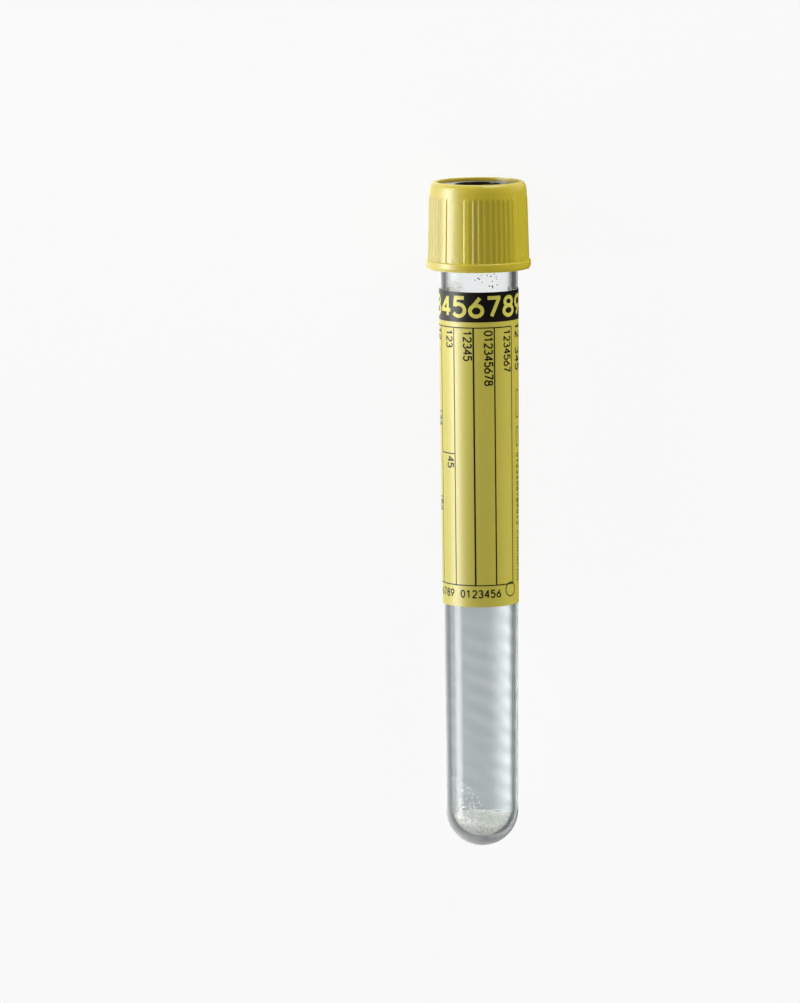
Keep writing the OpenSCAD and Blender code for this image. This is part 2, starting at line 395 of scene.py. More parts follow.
def moulded_polyethylene(name, colour, tint, glow):
    """Injection-moulded polyethylene: light glows a little way into it, and its skin has a satin
    gloss with the slight orange peel of the mould. Between the narrow ridges its colour is painted
    darker, as shade, by the share of painted shade stored on the cap's points."""
    material, tree = new_material(name)
    even = add_node(tree, "ShaderNodeMix", {
        0: object_noise(tree, 0.4), 6: colour, 7: tint}, data_type="RGBA")
    ridge_shade = add_node(tree, "ShaderNodeAttribute", attribute_name="painted_grip_shade")
    # painted shade: the yellow goes darker between the narrow ridges, where shade falls
    paint = add_node(tree, "ShaderNodeMix", {
        0: ridge_shade.outputs["Fac"], 6: even.outputs[2], 7: "#a8971a"}, data_type="RGBA")
    bump = add_node(tree, "ShaderNodeBump", {
        "Height": object_noise(tree, 2.5), "Strength": 0.12, "Distance": 0.03 * MM})
    plastic = add_node(tree, "ShaderNodeBsdfPrincipled", {
        "Base Color": paint.outputs[2], "Roughness": 0.38, "IOR": 1.51, "Specular IOR Level": 1.0,
        "Subsurface Weight": glow, "Subsurface Radius": (1.0, 0.7, 0.15), "Subsurface Scale": 0.7 * MM,
        "Normal": bump})
    add_node(tree, "ShaderNodeOutputMaterial", {"Surface": plastic})
    return material


def dark_moulding(name, texture, depth, strength, colours, roughness, ior):
    """A dark moulded stuff: its colour and its fine relief both follow one texture."""
    material, tree = new_material(name)
    grain = object_noise(tree, *texture)
    bump = add_node(tree, "ShaderNodeBump", {
        "Height": grain, "Strength": strength, "Distance": depth * MM})
    paint = add_node(tree, "ShaderNodeMix", {0: grain, 6: colours[0], 7: colours[1]}, data_type="RGBA")
    skin = add_node(tree, "ShaderNodeBsdfPrincipled", {
        "Base Color": paint.outputs[2], "Roughness": roughness, "IOR": ior, "Normal": bump})
    add_node(tree, "ShaderNodeOutputMaterial", {"Surface": skin})
    return material


def loose_powder(name, dark, pale, glow):
    """Dry grains, their colour painted darker in the hollows of their relief, as shade. Crystalline
    salts pass some light, and they give off a painted glow, light of their own that makes up for
    what the staged bench holds back behind the clear wall. Rubber dust does neither."""
    material, tree = new_material(name)
    grain = object_noise(tree, 3.4)
    # painted shade: the colour follows the relief, dark where it is low
    coarse = add_node(tree, "ShaderNodeMapRange", {"Value": grain, "From Min": 0.36, "From Max": 0.62})
    bump = add_node(tree, "ShaderNodeBump", {"Height": grain, "Strength": 0.6, "Distance": 0.15 * MM})
    paint = add_node(tree, "ShaderNodeMix", {0: coarse, 6: dark, 7: pale}, data_type="RGBA")
    # the emission below is painted light: the grains glow though they are no lamp
    body = add_node(tree, "ShaderNodeBsdfPrincipled", {
        "Base Color": paint.outputs[2], "Roughness": 0.7, "Subsurface Weight": 0.3,
        "Subsurface Radius": (1, 1, 1), "Subsurface Scale": 0.3 * MM,
        "Emission Color": paint.outputs[2], "Emission Strength": glow, "Normal": bump})
    inner = add_node(tree, "ShaderNodeMix", {0: grain, 6: dark, 7: pale}, data_type="RGBA")
    through = add_node(tree, "ShaderNodeBsdfTranslucent", {"Color": inner.outputs[2], "Normal": bump})
    mix = add_node(tree, "ShaderNodeMixShader", {0: 0.3 if glow else 0.0, 1: body, 2: through})
    add_node(tree, "ShaderNodeOutputMaterial", {"Surface": mix})
    return material


pet = clear_pet()
# films and inks: colour and mottle, roughness, shine, and the share of light that passes
yellow_film = printed_film("printed_yellow_film", "#f2e450", "#f6e85a", 0.44, 1.0, 0.2)
header_film = printed_film("printed_black_film", "#15120d", "#1c1812", 0.4, 0.3)
film_back = printed_film("white_film_back", "#f2f2ec", "#f8f8f3", 0.6, 0.5, 0.1)
black_ink = printed_film("black_ink", "#1b1707", "#221d0c", 0.5, 0.2)
yellow_ink = printed_film("yellow_ink", "#ece25a", "#f0e662", 0.45, 0.6)
yellow_plastic = moulded_polyethylene("moulded_yellow_polyethylene", "#dbca29", "#e0cf33", 0.7)
# painted light: the raised marks are the cap's plastic painted a lighter yellow, with no light glowing into it, to
# cancel the shade that falls round their edges
lightened_mark_plastic = moulded_polyethylene("raised_marks_painted_lighter", "#e4d23c", "#e8d848", 0.0)
# dark stuffs: texture to the mm and its detail, relief in mm and its strength, colours, roughness
# and IOR. Dyed black polyethylene has the bright face that a polished mould leaves, and moulded
# bromobutyl rubber is matt and faintly dusty
black_plastic = dark_moulding("polished_black_polyethylene", (1.5, 1.0), 0.02, 0.05,
                              ("#161514", "#1d1c1b"), 0.14, 1.51)
rubber = dark_moulding("bromobutyl_rubber", (2.0, 4.0), 0.03, 0.2, ("#262524", "#3a3837"), 0.62, 1.52)
# the last number is each powder's painted glow, light it gives off though it is no lamp
powder = loose_powder("crystalline_powder", "#bdbbb1", "#fdfcf9", 0.33)
glowing_grain = loose_powder("clear_crystals_with_painted_glow", "#f2f0ea", "#fdfcfa", 0.7)
beige_dust = loose_powder("beige_powder_smear", "#b5b19e", "#dcd8c6", 0.3)
dust = loose_powder("dark_rubber_dust", "#161514", "#2b2a28", 0.0)


# -------- pieces

def clear_tube():
    """The moulded tube: drafted wall, round end, eased rim, and faint ripples left by its core,
    which die out below the mouth."""
    ripple, ripple_length, ripple_fade, rows = 0.0012, 2.1, 5, 360
    shoulder = tube_length - rim_round
    outside = arc(0, end_r, end_r, -90, 0, 40) + line((end_r, end_r), (tube_r(shoulder), shoulder), 40)[1:]
    rim = (arc(tube_r(shoulder) - rim_round, shoulder, rim_round, 0, 90, 6)
           + arc(mouth_r + rim_round, shoulder, rim_round, 90, 180, 6))
    inside = []
    for i in range(1, rows):
        z = shoulder - (shoulder - floor_z) * i / rows
        fade = min(1, max(0, (mouth_base - z) / ripple_fade))
        inside.append((bore_r(z) + ripple * math.sin(TAU * z / ripple_length) * fade, z))
    inside += arc(0, floor_z, floor_r, 0, -90, 32)
    points, faces = revolve(outside + rim + inside, columns=200)
    return mesh_piece("clear_tube", points, faces, [pet])


def label_wrap():
    """The wrapped film with its dark header, open at the back, white on the glued side."""
    film_rows, header_rows, columns = 40, 5, 240
    header_base = label_top - header_length
    rows_z = ([label_base + (header_base - label_base) * i / film_rows for i in range(film_rows + 1)]
              + [header_base + header_length * (i + 1) / header_rows for i in range(header_rows)])
    outside = [(film_r(z), z) for z in rows_z]
    inside = [(tube_r(z) + glue, z) for z in reversed(rows_z)]
    turned = label_stop - label_start
    angles = [math.radians(label_start + turned * i / columns) for i in range(columns + 1)]
    points, faces = revolve(outside + inside, angles=angles, closed=False)
    film, header, white = 0, 1, 2

    def finish_of(number, centre):
        glued = math.hypot(centre.x, centre.y) < tube_r(centre.z) + label_thickness / 2
        if glued or centre.z > label_top - 0.01:
            return white
        return header if centre.z > header_base else film

    return mesh_piece("label_wrap", points, faces, [yellow_film, header_film, film_back],
                      finish_of=finish_of)


def on_label(u, v, height):
    """The point of the label's face u along the wrap from the front's middle and v up the tube.
    The form is printed a little askew."""
    askew = 0.2
    skew = askew * (label_top - v) / (label_top - label_base)
    return around((u + skew) / film_r(v), film_r(v) + height, v)


def label_form():
    """The form printed on the film: ruled columns, plain numbers in place of words, a column of
    small boxes and a ring by the foot."""
    ink = Strips(on_label, ink_low, ink_high)
    thin, middling, bold, box_pen = 0.17, 0.22, 0.27, 0.12
    top, foot = 85.1, 43.5
    columns = [-11.3, -7.85, -4.4, -0.97, 2.47, 5.95]
    left, right = columns[0], columns[-1]
    for u, pen in zip(columns, (thin, thin, thin, bold, middling, thin)):
        ink.stroke([(u, foot), (u, top)], pen)
    for a, b, v in ((left, right, foot), (left, right, top), (columns[1], columns[2], 64.7),
                    (left, columns[1], 57.4), (left, columns[1], 71.2)):
        ink.stroke([(a, v), (b, v)], thin)
    size, pen, pitch, across, down = 1.3, 0.235, 1.0, 1.8, 0.5
    for u, v, text in ((columns[4], top, "1234567"), (columns[3], top, "012345678"),
                       (columns[2], top, "12345"), (columns[1], top, "123"),
                       (columns[1], 64.7, "45"), (left, top, "12"), (left, 71.2, "34"), (left, 57.4, "56")):
        ink.number(text, u + across, v - down, size, pen, pitch, turned=True)
    for low, high in ((70.2, 74.6), (65.6, 68.6)):
        ink.stroke([(7.4, high), (8.7, high), (8.7, low), (7.4, low), (7.4, high)], box_pen)
    # each row of digits: its lower left corner, height, pen, pitch, and whether it reads down
    for text, u, v, size, pen, pitch, turned in (
            ("12 345", 7.2, 85.4, 1.6, 0.28, 1.3, True),
            ("0123456789012", 7.5, 64.4, 1.0, 0.16, 0.92, True),
            ("0123456789012345", 7.6, 51.8, 0.62, 0.1, 0.52, True),
            ("0123456", -3.5, 41.55, 1.15, 0.22, 1.0, False),
            ("6789", -8.6, 41.55, 1.15, 0.22, 1.0, False)):
        ink.number(text, u, v, size, pen, pitch, turned)
    ink.stroke(bow(5.35, 42.6, 1.12, 1.12, 0, 360, 28), thin)
    return mesh_piece("label_form", ink.points, ink.faces, [black_ink])


def header_numbers():
    """Plain numbers left clear in the dark header, round the whole label."""
    ink = Strips(on_label, ink_low, ink_high)
    size, pen, pitch, margin = 2.95, 0.6, 2.9, 0.95
    ink.number("34567890", -10.2, label_top - header_length + margin, size, pen, pitch, wide=1.22)
    return mesh_piece("header_numbers", ink.points, ink.faces, [yellow_ink])


def powder_heap():
    """The caked heap: a lumpy top over the round floor, closed along the wall."""
    gap, rings, wall_rows, columns = 0.05, 36, 10, 96
    reach = floor_r - gap
    points, faces = [], []

    def floor_at(r):
        """Height of the heap's round underside."""
        return floor_z - math.sqrt(max(0, reach ** 2 - r * r))

    def edge_r(angle):
        """Radius at which the heap's top meets the round floor or the wall."""
        low, high = 0.0, reach
        for halving in range(24):
            r = (low + high) / 2
            x, y, _ = around(angle, r, 0)
            if heap_height(x, y) > floor_at(r):
                low = r
            else:
                high = r
        return low

    for j in range(columns):
        a = TAU * j / columns
        limit = edge_r(a)
        for i in range(1, rings + 1):
            x, y, _ = around(a, limit * i / rings, 0)
            points.append((x, y, heap_height(x, y)))
        rim = points[-1][2]
        for i in range(1, wall_rows + 1):
            r = limit * (1 - i / (wall_rows + 1))
            points.append(around(a, r, min(rim, floor_at(r))))
    n = rings + wall_rows
    points += [(0, 0, heap_height(0, 0)), (0, 0, floor_at(0))]
    top, bottom = len(points) - 2, len(points) - 1
    for j in range(columns):
        k = (j + 1) % columns
        faces.append((top, j * n, k * n))
        for i in range(n - 1):
            faces.append((j * n + i, j * n + i + 1, k * n + i + 1, k * n + i))
        faces.append((j * n + n - 1, bottom, k * n + n - 1))
    return mesh_piece("powder_heap", points, faces, [powder], smooth_below=60)


def heap_height(x, y):
    """Height of the caked powder's surface: lumpy, a little higher at the back, and crept up the
    wall all round."""
    lumps_per_mm, lump_rise, creep_rise, settled, noise_slice = 0.9, 0.22, 1.05, 0.12, 3.1
    tilt_back, tilt_left, clearance = 0.3, 0.05, 0.03
    lump = noise.fractal(Vector((x, y, noise_slice)) * lumps_per_mm, 0.8, 2.0, 4)
    creep = creep_rise * ((x * x + y * y) / floor_r ** 2) ** 1.5
    slope = tilt_back * y * math.tan(math.radians(powder_slope)) - tilt_left * x
    height = tip_wall + powder_depth + creep + slope + lump_rise * lump - settled
    return min(height, powder_top - clearance)


def grain_tree():
    """Geometry nodes that scatter small grains over a surface: faceted grains, turned and sized at
    random, denser where the surface's own cover attribute says."""
    tree = bpy.data.node_groups.new("grains_on_a_surface", "GeometryNodeTree")
    for label, kind, value in (
            ("Geometry", "NodeSocketGeometry", None), ("Grains per mm2", "NodeSocketFloat", 1.0),
            ("Grain size", "NodeSocketFloat", 0.1), ("Seed", "NodeSocketInt", 1),
            ("Finish", "NodeSocketMaterial", None)):
        socket = tree.interface.new_socket(label, in_out="INPUT", socket_type=kind)
        if value is not None:
            socket.default_value = value
    tree.interface.new_socket("Geometry", in_out="OUTPUT", socket_type="NodeSocketGeometry")
    source = add_node(tree, "NodeGroupInput")
    seed = source.outputs["Seed"]
    cover = add_node(tree, "GeometryNodeInputNamedAttribute", {"Name": "cover"})
    per_mm2 = add_node(tree, "ShaderNodeMath", {
        0: cover.outputs["Attribute"], 1: source.outputs["Grains per mm2"]}, operation="MULTIPLY")
    per_m2 = add_node(tree, "ShaderNodeMath", {0: per_mm2, 1: 1 / MM ** 2}, operation="MULTIPLY")
    spots = add_node(tree, "GeometryNodeDistributePointsOnFaces", {
        "Mesh": source.outputs["Geometry"], "Density": per_m2, "Seed": seed})
    size = add_node(tree, "ShaderNodeMath", {0: source.outputs["Grain size"], 1: MM}, operation="MULTIPLY")
    grain = add_node(tree, "GeometryNodeMeshIcoSphere", {"Radius": 0.5, "Subdivisions": 1})
    chance = add_node(tree, "FunctionNodeRandomValue", {
        0: (0.45, 0.45, 0.45), 1: (1.3, 1.0, 1.0), "Seed": seed}, data_type="FLOAT_VECTOR")
    scaled = add_node(tree, "ShaderNodeVectorMath", {0: chance, 1: size}, operation="MULTIPLY")
    spin = add_node(tree, "FunctionNodeRandomValue", {
        0: (0, 0, 0), 1: (TAU, TAU, TAU), "Seed": seed}, data_type="FLOAT_VECTOR")
    copies = add_node(tree, "GeometryNodeInstanceOnPoints", {
        "Points": spots.outputs["Points"], "Instance": grain.outputs["Mesh"],
        "Rotation": spin, "Scale": scaled})
    real = add_node(tree, "GeometryNodeRealizeInstances", {"Geometry": copies})
    finish = add_node(tree, "GeometryNodeSetMaterial", {
        "Geometry": real, "Material": source.outputs["Finish"]})
    add_node(tree, "NodeGroupOutput", {"Geometry": finish})
    return tree


GRAINS = grain_tree()


def grains(name, cover, place, rows, columns, spread, size, seed, finish):
    """A piece of loose grains on a curved patch of rows and columns. place(i, j) gives a patch point
    upright, with i and j from 0 to 1, and cover(i, j) its share of the full spread per mm2."""
    points, faces, weights = [], [], []
    for i in range(rows + 1):
        for j in range(columns + 1):
            points.append(LAY_DOWN @ Vector(place(i / rows, j / columns)))
            weights.append(cover(i / rows, j / columns))
    for i in range(rows):
        for j in range(columns):
            k = i * (columns + 1) + j
            faces.append((k, k + 1, k + columns + 2, k + columns + 1))
    mesh = bpy.data.meshes.new(name + "_patch")
    mesh.from_pydata(points, [], faces)
    share = mesh.attributes.new("cover", "FLOAT", "POINT")
    share.data.foreach_set("value", weights)
    patch = put_in_scene(name + "_patch", mesh)
    modifier = patch.modifiers.new("grains", "NODES")
    modifier.node_group = GRAINS
    values = {"Grains per mm2": spread, "Grain size": size, "Seed": seed, "Finish": finish}
    for socket in GRAINS.interface.items_tree:
        if socket.name in values:
            modifier[socket.identifier] = values[socket.name]
    made = bpy.data.meshes.new_from_object(patch.evaluated_get(bpy.context.evaluated_depsgraph_get()))
    bpy.data.objects.remove(patch)
    made.name = name
    return put_in_scene(name, made)


def bore_patch(start, stop, low, high, inset):
    """A patch on the tube's inside between two angles from the front and two heights."""
    def place(i, j):
        z = low + (high - low) * i
        return around(math.radians(start + (stop - start) * j), bore_r(z) - inset, z)
    return place


def powder_grains():
    """Loose grains: on the heap, clinging to the wall above it, and a smear by the label's top."""
    def on_heap(i, j):
        edge_gap, lift = 0.35, 0.02
        x, y, _ = around(TAU * j, (floor_r - edge_gap) * i, 0)
        return (x, y, heap_height(x, y) + lift)

    # name, cover (i runs up the wall or outwards, and j round), patch, its rows and columns, grains
    # per mm2, grain size, seed, finish
    return [grains(*row) for row in (
        ("grains_on_heap", lambda i, j: 1.0, on_heap, 12, 40, 5.0, 0.22, 3, powder),
        ("grains_by_heap", lambda i, j: (1 - i) ** 1.5 * (0.35 + 0.65 * math.cos(math.pi * j) ** 2),
         bore_patch(-180, 180, 4.2, 9.6, 0.06), 14, 48, 1.5, 0.18, 5, glowing_grain),
        ("grains_on_wall", lambda i, j: (1 - i) ** 2 * (0.3 + 0.7 * max(0, math.cos(TAU * (j - 0.38)))),
         bore_patch(-180, 180, 9.0, 36.0, 0.05), 20, 48, 0.3, 0.17, 8, glowing_grain),
        ("grains_at_left", lambda i, j: (1 - i) ** 1.2 * math.sin(math.pi * j) ** 0.7,
         bore_patch(-60, 0, 4.4, 11.5, 0.05), 14, 20, 7.0, 0.2, 14, glowing_grain),
        ("grains_at_neck", lambda i, j: (1 - i) ** 0.7 * math.sin(math.pi * j),
         bore_patch(-60, -24, 90.4, 92.8, 0.05), 6, 10, 60.0, 0.17, 11, beige_dust))]


def tide_marks():
    """Thin lines of dried additive round the inside, where its surface stood."""
    steps, waver = 16, 0.06
    marks = Strips(lambda u, v, lift: around(u / floor_r, bore_r(v) - lift, v), -0.01, 0.03)
    for start, stop, v, width in ((-0.9, 3.6, 6.6, 0.03), (1.2, 4.0, 6.2, 0.025)):
        marks.stroke([(start + (stop - start) * i / steps, v + waver * math.sin(1.7 * i))
                      for i in range(steps + 1)], width)
    return mesh_piece("tide_marks", marks.points, marks.faces, [glowing_grain])


def neck_dust():
    """Dark rubber dust that the stopper's plug left on the wall near the mouth."""
    return grains("neck_dust", lambda i, j: 1.0, bore_patch(-12, 34, 91.4, 94.3, 0.1), rows=6,
                  columns=12, spread=1.7, size=0.28, seed=21, finish=dust)


def ridge_bars():
    """Where one group's ridges start and end, in degrees: a wide one at each side of narrow ones."""
    first = end_ridge_angle + ridge_pitch - ridge_angle
    return ([(0, end_ridge_angle), (group_span - end_ridge_angle, group_span)]
            + [(first + i * ridge_pitch, first + i * ridge_pitch + ridge_angle) for i in range(ridge_count)])


def ridge_height(angle):
    """Rise of the grip ridges over the skirt at an angle in degrees from the front."""
    local = (angle - ridge_start) % ridge_turn
    rise, slack = 0.0, 0.01
    for a, b in ridge_bars():
        if a - slack <= local <= b + slack:
            full = ridge_rise if b - a > ridge_pitch else narrow_rise
            rise = full * ease(min(local - a, b - local) / ridge_flank)
    return rise


def cap_angles():
    """Angles of the cap's columns in degrees: close on the ridges' flanks, wider on their crests
    and on the plain panels."""
    flank = [0, 0.15, 0.32, 0.5, 0.7, 0.9, 1.1, 1.3, ridge_flank]
    panel, panel_steps = ridge_turn - group_span, 24
    angles = set()
    for group in range(ridge_groups):
        base = ridge_start + group * ridge_turn
        for a, b in ridge_bars():
            crest = b - a - 2 * ridge_flank
            steps = max(1, round(crest))
            angles |= {round(base + a + s, 4) for s in flank} | {round(base + b - s, 4) for s in flank}
            angles |= {round(base + a + ridge_flank + crest * i / steps, 4) for i in range(steps)}
        angles |= {round(base + group_span + panel * i / panel_steps, 4) for i in range(1, panel_steps)}
    return sorted(angles)


def bead_r(z):
    """Radius of the flange's rounded outline, z above the cap's foot, and 0 over the flange."""
    if z < flange_round:
        return flange_r - flange_round + math.sqrt(max(0, flange_round ** 2 - (flange_round - z) ** 2))
    eased = z - (flange_height - flange_ease)
    if eased < 0:
        return flange_r
    if z < flange_height:
        return flange_r - flange_ease + math.sqrt(max(0, flange_ease ** 2 - eased ** 2))
    return 0.0


def mould_marks():
    """Raised marks on each plain panel: a small arch over the flange and a tiny ring higher up."""
    marks = Strips(lambda u, v, lift: around(u / skirt_base_r, skirt_r(v) + lift, v + cap_base),
                   -0.01, 0.045)
    arch_foot, arch_spring, arch_r, arch_pen = 1.35, 2.0, 0.6, 0.26
    small_height, small_r, small_pen, aside = 5.7, 0.27, 0.12, 0.15
    for group in range(ridge_groups):
        panel = ridge_start + group_span + (ridge_turn - group_span) / 2 + (group - 1) * ridge_turn
        u = math.radians(panel) * skirt_base_r
        marks.stroke([(u - arch_r, arch_foot)] + bow(u, arch_spring, arch_r, arch_r, 180, 0)
                     + [(u + arch_r, arch_foot)], arch_pen)
        marks.stroke(bow(u - aside, small_height, small_r, small_r, 0, 360, 14), small_pen, high=0.03)
    return marks.points, marks.faces


def paint_grip_shade(piece):
    """Gives each point of the cap its share of painted shade, a darker colour that stands in for the
    shade between the ridges; it fades out at the ends of the ridges and at both sides of the narrow ones."""
    low, high = cap_base + flange_height - 0.1, cap_base + ridge_top
    fade_low, fade_high, fade_side = 0.3, 0.6, 2
    shade = piece.data.attributes.new("painted_grip_shade", "FLOAT", "POINT")
    for corner, share in zip(piece.data.vertices, shade.data):
        spot = STAND_UP @ corner.co
        local = (math.degrees(math.atan2(spot.x, -spot.y)) - ridge_start) % ridge_turn
        inside = ease(min(local - end_ridge_angle, group_span - end_ridge_angle - local) / fade_side)
        upwards = ease((spot.z - low) / fade_low) * ease((high - spot.z) / fade_high)
        share.value = inside * upwards * painted_shade_share


def cap_shell():
    """The moulded cap: drafted skirt, ridge groups, flange, rounded top and shelf inside. The back
    of its flange has a small flat, on which the tube lies."""
    run_out, bore_edge, top_edge = 0.8, 0.4, 0.15
    # heights of the rows over the foot: close together round the flange and at the ridges' ends
    low_rows = [0.0, 0.03, 0.08, 0.15, 0.25, 0.36, 0.48, 0.6, 0.85, 1.15, 1.2, 1.25, 1.3, 1.34, 1.37,
                1.39, 1.4, 1.42, 1.46, 1.52, 1.6]
    mid_steps, end_steps, end_run = 24, 12, 0.9
    start, stop = low_rows[-1], ridge_top - end_run
    mid_rows = [start + (stop - start) * i / mid_steps for i in range(1, mid_steps + 1)]
    end_rows = [stop + end_run * i / end_steps for i in range(1, end_steps + 1)]
    end_rows += [ridge_top + 0.1, ridge_top + 0.2]
    top_r = skirt_r(cap_height - top_ease)
    shelf_base = tube_length - cap_base + stopper_flange + 2 * seat_gap
    shelf_top = shelf_base + shelf

    def section(angle):
        """The half section: under the foot, up the skirt, over the shoulder and down inside."""
        rise = ridge_height(math.degrees(angle))
        out = line((skirt_bore_r + bore_edge, 0.0), (flange_r - flange_round, 0.0), 4)
        for z in low_rows + mid_rows + end_rows:
            out.append((max(bead_r(z), skirt_r(z) + rise * ease((ridge_top - z) / run_out)), z))
        out += [(r, cap_height - top_ease + (z - cap_height + top_round) * top_ease / top_round)
                for r, z in arc(top_r - top_round, cap_height - top_round, top_round, 0, 90, 14)]
        out += arc(opening_r + top_edge, cap_height - top_edge, top_edge, 90, 180, 4)
        out += line((opening_r, cap_height - top_edge), (opening_r, shelf_top), 4)[1:]
        out += [(opening_r, shelf_top), (shelf_hole_r, shelf_top), (shelf_hole_r, shelf_base)]
        out += line((skirt_bore_r, shelf_base), (skirt_bore_r, bore_edge), 6)
        out += [(skirt_bore_r, bore_edge)]
        return [(r, z + cap_base) for r, z in out]

    points, faces = revolve(section, angles=[math.radians(a) for a in cap_angles()])
    mark_points, mark_faces = mould_marks()
    first_mark, base = len(faces), len(points)
    points += mark_points
    faces += [tuple(k + base for k in face) for face in mark_faces]
    piece = mesh_piece("cap_shell", points, faces, [yellow_plastic, lightened_mark_plastic], smooth_below=50,
                       finish_of=lambda number, centre: int(number >= first_mark))
    paint_grip_shade(piece)
    for corner in piece.data.vertices:
        corner.co.z = max(corner.co.z, 0.0)        # presses in the flange's flat
    piece.data.update()
    return piece


def cap_ring():
    """The dark ring: plate with the needle port, outer wall down to the shelf."""
    foot_edge, top_edge, port_edge = 0.1, 0.2, 0.15
    section = [(shelf_hole_r, ring_base), (ring_r - foot_edge, ring_base), (ring_r, ring_base + foot_edge)]
    section += arc(ring_r - top_edge, ring_top - top_edge, top_edge, 0, 90, 6)
    section += line((ring_r - top_edge, ring_top), (port_r + port_edge, ring_top), 6)[1:]
    section += arc(port_r + port_edge, ring_top - port_edge, port_edge, 90, 180, 5)
    section += [(port_r, ring_top - plate + 0.01), (port_r, ring_top - plate),
                (shelf_hole_r, ring_top - plate)]
    points, faces = revolve(section)
    return mesh_piece("cap_ring", points, faces, [black_plastic])


def rubber_stopper():
    """The stopper: plug with its hollow, flange on the rim, and dished head in the ring."""
    plug_gap, head_r = 0.05, 4.65
    plug_r = mouth_r - plug_gap
    hollow_foot_r, hollow_top_r, hollow_depth = 3.3, 1.65, 2.4
    plug_edge, flange_edge, head_edge = 0.4, 0.15, 0.1
    dish_r, dish_half, dish_steps = 4.5, 3.5, 10
    flange_base = tube_length + seat_gap
    flange_top = flange_base + stopper_flange
    dish_depth = dish_r - math.sqrt(dish_r ** 2 - dish_half ** 2)
    section = [(0, plug_base + hollow_depth), (hollow_top_r, plug_base + hollow_depth),
               (hollow_foot_r, plug_base), (plug_r - plug_edge, plug_base)]
    section += arc(plug_r - plug_edge, plug_base + plug_edge, plug_edge, -90, 0, 6)[1:]
    section += [(plug_r, flange_base), (stopper_r - flange_edge, flange_base)]
    section += arc(stopper_r - flange_edge, flange_base + flange_edge, flange_edge, -90, 0, 3)[1:]
    section += arc(stopper_r - flange_edge, flange_top - flange_edge, flange_edge, 0, 90, 3)
    section += [(head_r, flange_top), (head_r, head_top - head_edge), (head_r - head_edge, head_top)]
    for i in range(dish_steps + 1):
        share = 1 - i / dish_steps
        section.append((dish_half * share, head_top - dish_depth * (1 - share ** 2)))
    points, faces = revolve(section, columns=128)
    return mesh_piece("rubber_stopper", points, faces, [rubber])


for piece, body, slot, node in (
        [(clear_tube(), "tube_body", "clear_wall", "tube"),
         (label_wrap(), "tube_body", "label_film", "label"),
         (label_form(), "tube_body", "label_film", None),
         (header_numbers(), "tube_body", "label_film", None),
         (powder_heap(), "tube_body", "powder", "additive")]
        + [(loose, "tube_body", "powder", None) for loose in powder_grains() + [tide_marks()]]
        + [(neck_dust(), "tube_body", "stopper_rubber", None),
           (cap_shell(), "closure", "cap_plastic", "cap"),
           (cap_ring(), "closure", "ring_plastic", "ring"),
           (rubber_stopper(), "closure", "stopper_rubber", "stopper")]):
    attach(piece, body)
    if node:
        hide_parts(node)


# -------- stage, light and camera

def bench():
    """A bench top that is plain white to the eye and keeps part of the tube's shadow. What gloss
    mirrors and what the clear wall bends in have painted light and shade of their own, by place:
    gloss finds a painted pool of light on the left and past the cap, and painted shade on the right;
    the wall finds painted shadow under the tube, painted brightness under its right side and beside
    it, and painted shade further out and past the round end."""
    material, tree = new_material("white_bench")
    path = add_node(tree, "ShaderNodeLightPath")
    gloss_ray, bent_ray = path.outputs["Is Glossy Ray"], path.outputs["Is Transmission Ray"]
    place = add_node(tree, "ShaderNodeTexCoord")
    parts = add_node(tree, "ShaderNodeSeparateXYZ", {0: place.outputs["Object"]})
    x, y = parts.outputs["X"], parts.outputs["Y"]
    across = add_node(tree, "ShaderNodeMath", {0: x, 1: 0.3 * MM}, operation="ADD")
    aside = add_node(tree, "ShaderNodeMath", {0: across}, operation="ABSOLUTE")
    # each level runs from one place to another, in millimetres, and from a first value to a last
    beside, rightwards, capwards, past_tip, gloss_left, gloss_past_cap = (
        add_node(tree, "ShaderNodeMapRange", {
            "Value": value, "From Min": start * MM, "From Max": stop * MM, "To Min": first, "To Max": last},
            interpolation_type="SMOOTHSTEP")
        for value, start, stop, first, last in (
            (aside, 6.0, 10.5, 1.05, 0.12), (x, 1.0, 6.5, 0.6, 1.5), (y, -5, 20, 0.0, 1.0),
            (y, -57, -46, 0.3, 1.0), (x, -12, 12, 1.6, 0.06), (y, 54, 58, 0.0, 0.9)))
    # painted shadow under the tube and painted brightness under its right side, in what the wall bends in
    under = add_node(tree, "ShaderNodeMix", {0: capwards, 2: rightwards, 3: 0.82})
    bent = add_node(tree, "ShaderNodeMath", {0: beside, 1: under}, operation="MULTIPLY")
    bent = add_node(tree, "ShaderNodeMath", {0: bent, 1: past_tip}, operation="MULTIPLY")
    # painted light: in gloss a lit pool on the left and light past the cap, with shade on the right
    gloss = add_node(tree, "ShaderNodeMath", {0: gloss_left, 1: gloss_past_cap}, operation="MAXIMUM")
    level = add_node(tree, "ShaderNodeMix", {0: gloss_ray, 2: 1.0, 3: gloss})
    level = add_node(tree, "ShaderNodeMix", {0: bent_ray, 2: level, 3: bent})
    seen = add_node(tree, "ShaderNodeMath", {0: path.outputs["Is Camera Ray"], 1: 0.9}, operation="MULTIPLY")
    staged = add_node(tree, "ShaderNodeMath", {0: gloss_ray, 1: bent_ray}, operation="MAXIMUM")
    share = add_node(tree, "ShaderNodeMath", {0: staged, 1: seen}, operation="MAXIMUM")
    white = add_node(tree, "ShaderNodeEmission", {"Color": "#ffffff", "Strength": level})
    matt = add_node(tree, "ShaderNodeBsdfDiffuse", {"Color": "#f4f4f2"})
    mix = add_node(tree, "ShaderNodeMixShader", {0: share, 1: matt, 2: white})
    add_node(tree, "ShaderNodeOutputMaterial", {"Surface": mix})
    half = 3.0
    mesh = bpy.data.meshes.new("bench_top")
    mesh.from_pydata([(-half, -half, 0), (half, -half, 0), (half, half, 0), (-half, half, 0)], [],
                     [(0, 1, 2, 3)])
    mesh.materials.append(material)
    put_in_scene("bench_top", mesh)


